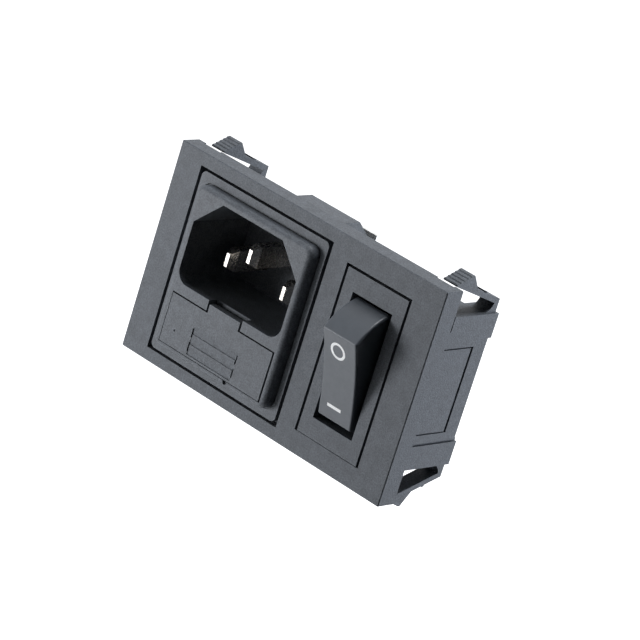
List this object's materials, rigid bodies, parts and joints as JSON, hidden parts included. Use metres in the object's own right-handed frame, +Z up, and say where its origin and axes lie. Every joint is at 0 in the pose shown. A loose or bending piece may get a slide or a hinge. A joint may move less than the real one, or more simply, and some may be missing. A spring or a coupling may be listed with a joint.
{
  "type": "panel mount power inlet with fuse drawer and rocker switch",
  "caption": "Snap-in panel module that joins an appliance inlet, a pull-out fuse drawer and a narrow rocker switch in one bezel.",
  "frame": {"origin": "middle of the bezel's width and height, on the bezel's back face, which rests against the panel", "axes": "+Z up, -Y out of the panel towards the user, +X to the user's right, towards the switch"},
  "size_m": [0.0642, 0.0328, 0.0436],
  "materials": {
    "frame_plastic": "matte",
    "inlet_plastic": "matte",
    "switch_plastic": "matte",
    "rocker_plastic": "satin",
    "plunger_plastic": "matte",
    "pin_nickel": "satin",
    "clip_brass": "satin",
    "contact_silver": "polished",
    "spring_steel": "brushed",
    "fuse_element": "satin",
    "fuse_glass": "clear"
  },
  "bodies": {
    "frame": {"bezel_frame": "frame_plastic", "inlet_housing": "inlet_plastic", "rear_cover": "inlet_plastic", "line_pin": "pin_nickel", "earth_pin": "pin_nickel", "neutral_pin": "pin_nickel", "line_clip": "clip_brass", "load_clip": "clip_brass", "switch_housing": "switch_plastic", "switch_base": "switch_plastic", "common_terminal": "clip_brass", "load_terminal": "clip_brass", "fixed_contact": "contact_silver"},
    "drawer": {"fuse_drawer": "inlet_plastic", "fuse_glass": "fuse_glass", "fuse_caps": "pin_nickel", "fuse_wire": "fuse_element", "spare_fuse_glass": "fuse_glass", "spare_fuse_caps": "pin_nickel", "spare_fuse_wire": "fuse_element"},
    "rocker": {"rocker": "rocker_plastic", "plunger_spring": "spring_steel"},
    "plunger": {"plunger": "plunger_plastic"},
    "lever": {"contact_lever": "clip_brass", "lever_contact": "contact_silver"}
  },
  "joints": [
    {"name": "drawer_slide", "type": "slide", "parent": "frame", "child": "drawer", "axis": [0, -1, 0], "range_m": [0, 0.019]},
    {"name": "rocker_hinge", "type": "hinge", "parent": "frame", "child": "rocker", "pos_m": [0.01805, -0.00123, -0.0003], "axis": [-1, 0, 0], "range_deg": [0, 39]},
    {"name": "plunger_slide", "type": "slide", "parent": "rocker", "child": "plunger", "axis": [0, -0.9426, -0.3338], "range_m": [0, 0.001], "stiffness_N_per_m": 400, "springref_m": -0.001, "deforming": ["plunger_spring"]},
    {"name": "lever_hinge", "type": "hinge", "parent": "frame", "child": "lever", "pos_m": [0.01805, 0.0076, -0.0003], "axis": [-1, 0, 0], "range_deg": [-22, 0]}
  ],
  "couplings": [
    {"joint": "lever_hinge", "follows": "rocker_hinge", "ratio": -0.5641}
  ]
}
